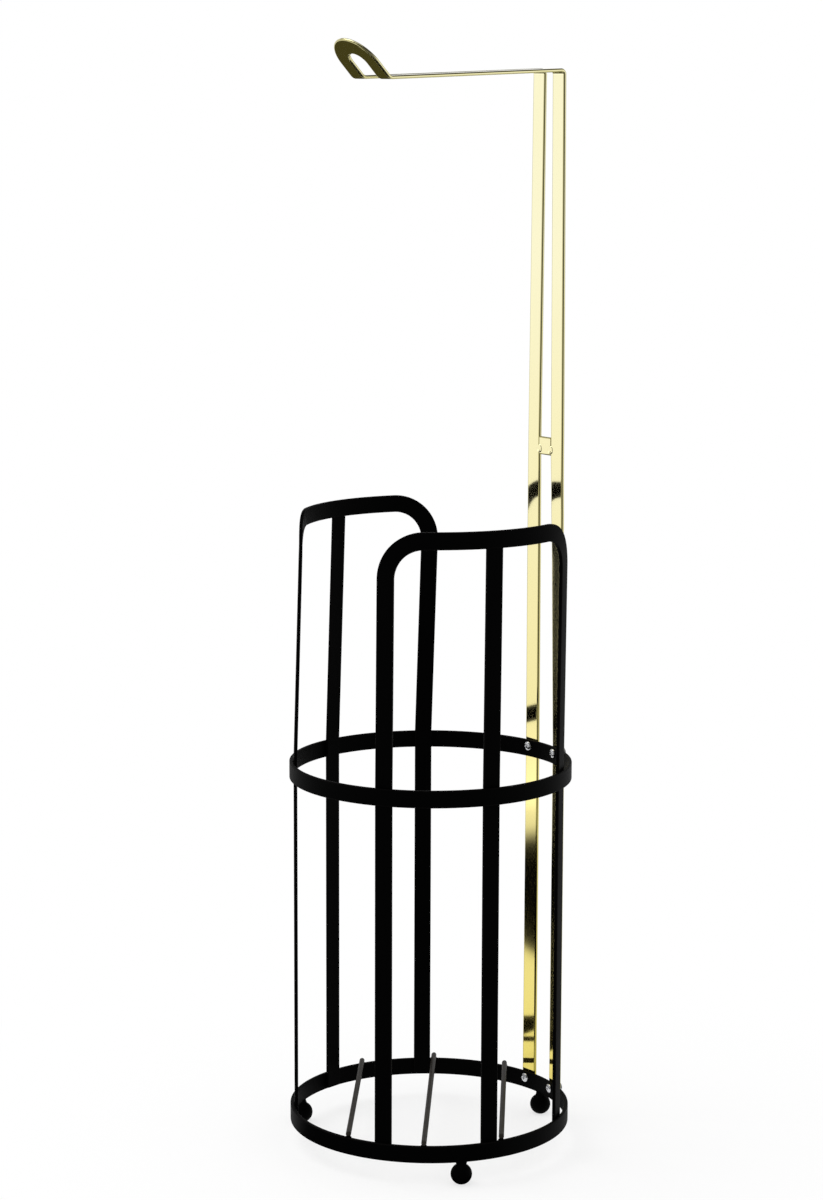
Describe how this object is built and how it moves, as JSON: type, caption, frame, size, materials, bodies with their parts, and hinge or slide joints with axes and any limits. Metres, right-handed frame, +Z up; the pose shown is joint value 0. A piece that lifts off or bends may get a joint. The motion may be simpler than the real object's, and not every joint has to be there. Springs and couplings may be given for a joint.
{
  "type": "freestanding toilet roll holder",
  "caption": "Freestanding toilet roll holder: a round flat-bar basket on ball feet keeps spare rolls, and a tall hairpin stand behind it carries the roll in use on an arm with a raised loop.",
  "frame": {"origin": "on the floor, at the middle of the holder's bounding box in X and Y; the rings' axis is 2.7 mm in front of it", "axes": "+Z up; the arm points to the front, -Y; +X is to the right as seen from the front"},
  "size_m": [0.16, 0.1654, 0.6256],
  "materials": {
    "black_powder_coat": "satin black powder coat on steel",
    "dark_wire": "semi-gloss dark grey coat on steel wire",
    "brass_plate": "polished pale brass plating on steel",
    "zinc_plate": "bright zinc plating"
  },
  "bodies": {
    "root": {"base_ring": "black_powder_coat", "mid_ring": "black_powder_coat", "hoop_left": "black_powder_coat", "hoop_right": "black_powder_coat", "stave_left": "black_powder_coat", "stave_right": "black_powder_coat", "floor_rod_left": "dark_wire", "floor_rod_middle": "dark_wire", "floor_rod_right": "dark_wire", "foot_front": "black_powder_coat", "foot_rear": "black_powder_coat", "foot_left": "black_powder_coat", "roll_stand": "brass_plate", "stand_brace": "brass_plate", "screw_base_left": "zinc_plate", "screw_base_right": "zinc_plate", "screw_mid_left": "zinc_plate", "screw_mid_right": "zinc_plate", "nut_base_left": "zinc_plate", "nut_base_right": "zinc_plate", "nut_mid_left": "zinc_plate", "nut_mid_right": "zinc_plate"}
  },
  "joints": []
}
